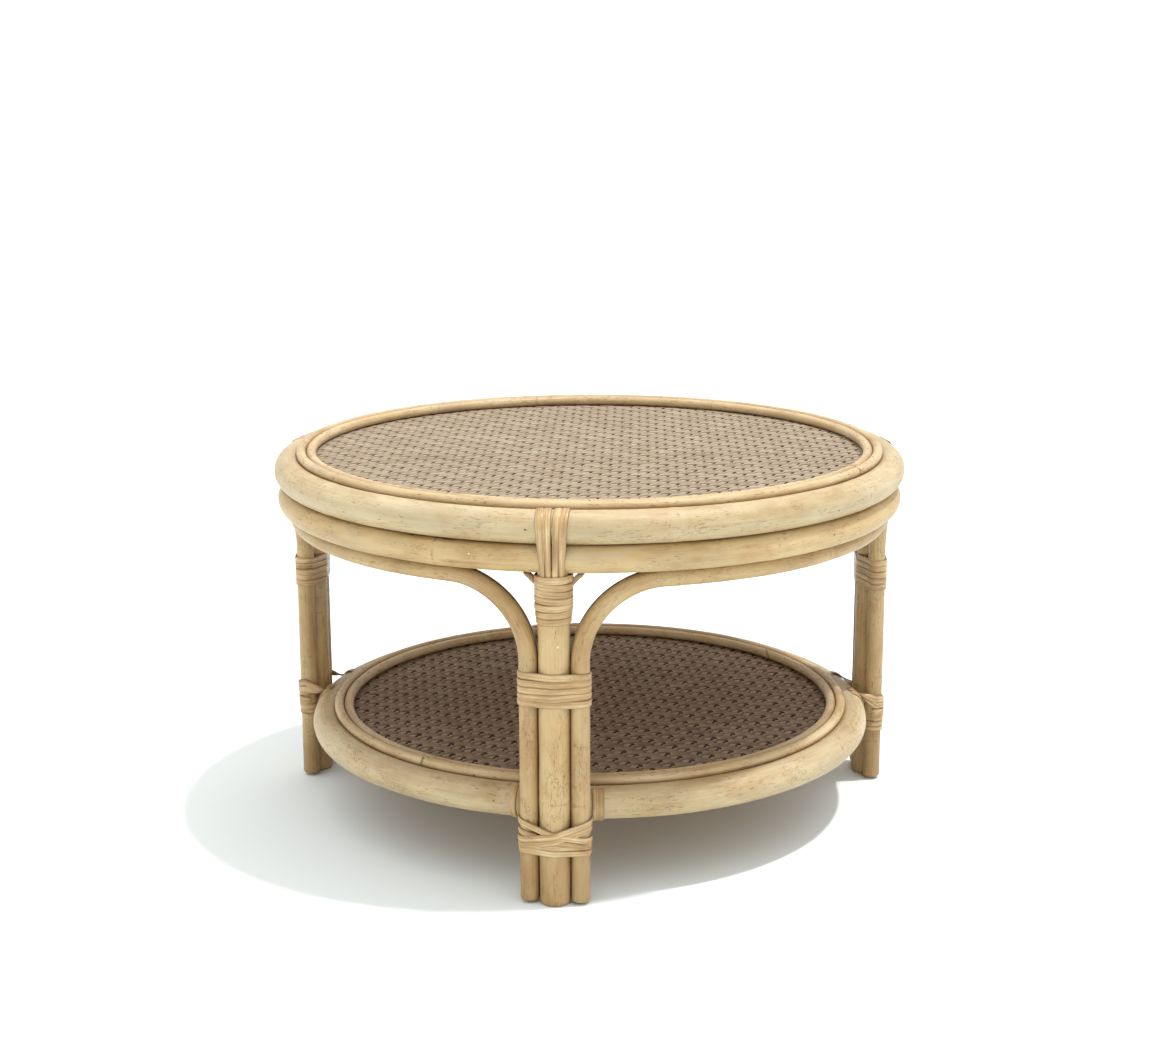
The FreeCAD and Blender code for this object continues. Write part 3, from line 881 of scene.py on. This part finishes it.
def strap_path(side, lane, foot):
    """One rim strap: over the rim, down across the apron, then straight down the pole."""
    rim_out = RIM[0] - LEG_RADIUS
    top = lane * 8.1 * MM + math.copysign(1.5, lane) * MM
    turn = lane * 0.385
    points = []
    normals = []
    for angle in np.radians(np.arange(STRAP_START[side], -96, -6)):
        way = np.array([0, -math.sin(angle), math.cos(angle)])
        share = smooth((24 - math.degrees(angle)) / 240)
        points.append([top * (1 - 0.25 * share), rim_out, RIM[2]] + (RIM[1] + 0.15 * MM) * way)
        normals.append(way)
    start, start_way = points[-1], normals[-1]
    last = np.array([math.sin(turn), math.cos(turn), 0])
    end = (POLE_TUBE + 0.1 * MM) * last + [0, 0, foot - 3 * MM]
    for share in (0.45, 0.75, 1.0):
        points.append(start + (end - start) * share)
        normals.append(start_way + (last - start_way) * share)
    points.append(end - [0, 0, 26 * MM])
    normals.append(last)
    return points, normals


def rim_straps(side, finish):
    """Four strips over the rim and apron and down under the upper wrap, in two pairs."""
    foot = spread_of(f"{side}_leg_upper_wrap")[1]
    piece = Piece()
    for lane in (-1.5, -0.5, 0.5, 1.5):
        points, normals = strap_path(side, lane, foot)
        strip(piece, at_leg(side, points), turn_to_leg(side, normals), PEEL_WIDTH,
              step=1.5 * MM, tip=3 * MM, widths=STRAP_WIDTHS)
    piece.build(f"{side}_rim_straps", finish, "peel", f"{side}_leg_rim_straps")


def apron_ties(side, finish):
    """A strip each side that climbs the pole and curls out under the apron, thickest where it curls."""
    top = APRON[2] - APRON[1] - 0.2 * MM
    reach = 15 * MM
    forward = -2 * MM
    piece = Piece()
    for hand in (-1, 1):
        points = [[hand * POLE_TUBE, forward, top - 30 * MM], [hand * POLE_TUBE, forward, top - 20 * MM]]
        normals = [[hand, 0, 0], [hand, 0, 0]]
        for angle in np.radians(np.arange(0, 91, 10)):
            points.append([hand * (POLE_TUBE + reach * (1 - math.cos(angle))), forward,
                           top - reach + reach * math.sin(angle)])
            normals.append([hand * math.cos(angle), 0, -math.sin(angle)])
        points = np.array(points) + np.array(normals) * 0.1 * MM
        strip(piece, at_leg(side, points), turn_to_leg(side, normals), 10 * MM, 7 * MM,
              step=1.5 * MM, tip=3 * MM, depths=TIE_DEPTHS)
    piece.build(f"{side}_apron_ties", finish, "peel", f"{side}_leg_apron_ties")


def on_shelf_rim(along, angle, lift):
    """A point on the shelf's rim pole beside a leg, and the direction out of the pole there."""
    radius, tube, height = SHELF
    azimuth = along / LEG_RADIUS
    out = np.array([math.sin(azimuth), math.cos(azimuth), 0])
    way = out * math.cos(angle) + np.array([0, 0, math.sin(angle)])
    return out * radius - [0, LEG_RADIUS, 0] + [0, 0, height] + (tube + lift) * way, way


def shelf_tie(side, hand, letter, finish):
    """Two turns of peel round the shelf's rim pole beside a leg."""
    node = f"{side}_leg_shelf_tie_{letter}"
    offset = (46.5 if side in CANED else 26) * MM
    piece = Piece()
    for lane in (-1, 1):
        points = []
        normals = []
        slant = rng.uniform(-1.5, 1.5) * MM
        for degrees in np.arange(-150, 84, 6):
            place = hand * offset + lane * 3.9 * MM + slant * math.cos(math.radians(degrees))
            point, way = on_shelf_rim(place, math.radians(degrees), 0.1 * MM)
            points.append(point)
            normals.append(way)
        strip(piece, at_leg(side, points), turn_to_leg(side, normals), 7.2 * MM)
    piece.build(f"{side}_shelf_tie_{letter}", finish, "peel", node)


# Height of the lowest turn round each leg at the shelf
LASH_BASE = {"front": 58 * MM, "right": 65 * MM, "back": 64 * MM, "left": 82 * MM}
# The strips that have one tail, not two, on the shelf's rim: those on the far side of the side legs
ONE_TAIL = {"right": -1, "back": 0, "left": 1}


def lashing(piece, side, hand, low, high, lift, bow, tail=None, width=7 * MM):
    """A strip that is high on one side of a leg and crosses it to lie low on the other.

    Its tail, where it has one, comes over the shelf's rim pole from the trim's seam that far along.
    """
    angles = np.radians(np.linspace(214, -34, 84))
    ring, out = hull(leg_members(side, low), 0.0, angles)
    across = ring[:, 0] / abs(ring[:, 0]).max()
    share = (1 - across) / 2
    ring += out * (lift * (0.35 + 0.65 * np.exp(-((across / 0.55) ** 2))))[:, None]
    ring[:, 2] = low + (high - low) * share ** bow
    ring[:, 0] *= hand
    out[:, 0] *= hand
    if tail:
        reach = abs(ring[0, 0]) + 1 * MM
        ends = [on_shelf_rim(-hand * along, math.radians(degrees), lift * 0.5 + 0.3 * MM)
                for along, degrees in ((tail, 86), (0.6 * tail + 0.4 * reach, 66), (reach, 40))]
        ring = spline(np.vstack([[point for point, _ in ends], ring[10::6]]), 5)
        out = spline(np.vstack([[way for _, way in ends], out[10::6]]), 5)
    strip(piece, at_leg(side, ring), turn_to_leg(side, out), width)


def lower_wrap(side, finish):
    """Two level turns round the leg, crossed above by strips that slant up to the shelf's rim."""
    node = f"{side}_leg_lower_wrap"
    base = LASH_BASE[side]
    piece = Piece()
    coil(piece, side, leg_members, base, base + 13 * MM, turns=2, lean=1.6 * MM)
    lashing(piece, side, 1, base + 9 * MM, base + 25 * MM, lift=0.6 * MM, bow=1.2)
    lashing(piece, side, -1, base + 9 * MM, base + 29 * MM, lift=1.3 * MM, bow=1.3)
    if side == "front":
        lashing(piece, side, 1, base + 16 * MM, base + 37 * MM, lift=1.6 * MM, bow=1.4)
        lashing(piece, side, -1, base + 16 * MM, base + 36 * MM, lift=2.5 * MM, bow=1.4)
    else:
        for hand, lift in ((1, 1.6 * MM), (-1, 2.5 * MM)):
            second = 31 * MM if hand != ONE_TAIL[side] else None
            lashing(piece, side, hand, base + 16 * MM, base + 34 * MM, lift, bow=1.3,
                    tail=40 * MM, width=8 * MM)
            lashing(piece, side, hand, base + 20 * MM, base + 42 * MM, lift + 1 * MM, bow=1.2,
                    tail=second, width=8 * MM)
    piece.build(f"{side}_lower_wrap", finish, "peel", node)


# ------------ the table

# CAD nodes that need no more shape than they have
BOARDS = ("top_backing_board", "shelf_backing_board")
NAILS = ("top_trim_brads", "shelf_trim_brads", "apron_nails", "shelf_nails")


def build_table():
    """Every piece of the table, in the finishes that its pieces share."""
    rim = cane_finish("rim pole")
    # The leg poles and apron take a copy of the cane with painted shade, the arches a darker one
    pole = cane_finish("leg pole in shade")
    arch = cane_finish("bent cane in shade")
    trim = cane_finish("trim cane")
    peel = peel_finish("rattan peel")
    top_weave = weave_finish("woven core", (0.74, 0.76, 0.77), 0.35, paint(50, 25, 11))
    # The shelf's copy is darker all over, as painted shade from the top above it
    shelf_weave = weave_finish("woven core in shade", (0.53, 0.5, 0.49), 0.34, paint(42, 24, 14))
    hoop("rim_pole", "top_rim", rim, "pole_cane", joint=260.5, sides=64, spacing=330 * MM,
         skew=5 * MM, seams=(126, -92), lumps=0.006)
    hoop("apron_pole", "apron_ring", pole, "pole_cane", joint=150, sides=56, spacing=300 * MM,
         skew=16 * MM, seams=(88, -110), lumps=0.008, stain=(333, 8, 72))
    hoop("shelf_rim_pole", "shelf_rim", rim, "pole_cane", joint=118, sides=64, spacing=330 * MM,
         skew=14 * MM, seams=(126,), lumps=0.006)
    for tier, outer, inner in (("top", 60, 62), ("shelf", 322.5, 127)):
        hoop(f"{tier}_trim_outer_cane", f"{tier}_trim_outer", trim, "trim_cane", joint=outer,
             sides=28, spacing=210 * MM, skew=3 * MM, seams=(-54, 184), lumps=0.014)
        hoop(f"{tier}_trim_inner_cane", f"{tier}_trim_inner", trim, "trim_cane", joint=inner,
             sides=28, spacing=190 * MM, skew=8 * MM, seams=(4, -90), lumps=0.014)
    for first, second in ARCHES:
        arch_cane(first, second, arch)
    for side in SIDES:
        leg_pole(side, pole)
        rim_straps(side, peel)
        upper_wrap(side, peel)
        lower_wrap(side, peel)
        if side in CANED:
            apron_ties(side, peel)
            middle_wrap(side, peel)
        shelf_tie(side, -1, "a", peel)
        shelf_tie(side, 1, "b", peel)
    woven_panel("top", top_weave)
    woven_panel("shelf", shelf_weave)
    coat_frame_nodes(BOARDS, board_finish("plywood"))
    coat_frame_nodes(NAILS, steel_finish("steel"))


def coat_frame_nodes(names, finish):
    """CAD nodes whose shape already serves, given a better finish."""
    for name in names:
        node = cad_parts[name]
        node.data.materials.clear()
        node.data.materials.append(finish)


# ------------ floor, light and camera

def add_floor():
    """A pale floor, so wide that no edge of it shows."""
    look = Finish("floor")
    place = look.node("TexCoord", "Object")
    mottle = look.noise(place, 3, 0.5, 2.0)
    colour = look.mix(mottle, paint(236, 243, 243), paint(238, 245, 245))
    finish = look.end(colour, None, 0.9, Specular_IOR_Level=0.1)
    mesh = bpy.data.meshes.new("floor")
    reach = 30.0
    corners = [(-reach, -reach, 0), (reach, -reach, 0), (reach, reach, 0), (-reach, reach, 0)]
    mesh.from_pydata(corners, [], [(0, 1, 2, 3)])
    mesh.materials.append(finish)
    floor = bpy.data.objects.new("floor", mesh)
    bpy.context.scene.collection.objects.link(floor)


# Brightness of the surroundings against height, as the z of a direction
SKY = ((0.05, 0.68), (0.14, 0.5), (0.5, 0.62), (1.0, 1.0))


def add_sky():
    """White at the horizon, dimmer low down and brightest overhead, like a softbox over a sweep."""
    world = bpy.data.worlds.new("studio")
    world.use_nodes = True
    sky = Nodes(world.node_tree)
    height = sky.node("SeparateXYZ", 2, Vector=sky.node("TexCoord", "Generated"))
    stops = [(place, (light, light, light, 1.0)) for place, light in SKY]
    background = sky.tree.nodes["Background"].inputs
    sky.tree.links.new(sky.ramp(height, *stops), background["Color"])
    background["Strength"].default_value = 1.6
    bpy.context.scene.world = world


def add_key_light():
    """A lamp high on the right, with a soft edge to its shadow."""
    lamp = bpy.data.lights.new("key", "SUN")
    lamp.energy = 2.2
    lamp.angle = math.radians(3)
    key = bpy.data.objects.new("key", lamp)
    way = Vector((130, 10, 415)).normalized()
    key.rotation_euler = way.to_track_quat("Z", "Y").to_euler()
    bpy.context.scene.collection.objects.link(key)


def add_camera():
    """Straight in front of the table and 0.44 m above its top, looking a little down on it."""
    place = (0, -2.3923, 0.8837)
    pitch, yaw, roll = 0.22523, -0.00299, -0.00249
    forward = Vector((math.sin(yaw) * math.cos(pitch), math.cos(yaw) * math.cos(pitch), -math.sin(pitch)))
    level = Vector((math.cos(yaw), -math.sin(yaw), 0))
    upright = level.cross(forward)
    right = math.cos(roll) * level + math.sin(roll) * upright
    up = -math.sin(roll) * level + math.cos(roll) * upright
    lens = bpy.data.cameras.new("camera")
    lens.sensor_width = 36
    lens.lens = 62.47
    lens.clip_end = 100
    camera = bpy.data.objects.new("camera", lens)
    axes = Matrix((right, up, -forward)).transposed().to_4x4()
    camera.matrix_world = Matrix.Translation(place) @ axes
    bpy.context.scene.collection.objects.link(camera)
    bpy.context.scene.camera = camera
    bpy.context.scene.view_settings.view_transform = "Standard"


build_table()
add_floor()
add_sky()
add_key_light()
add_camera()
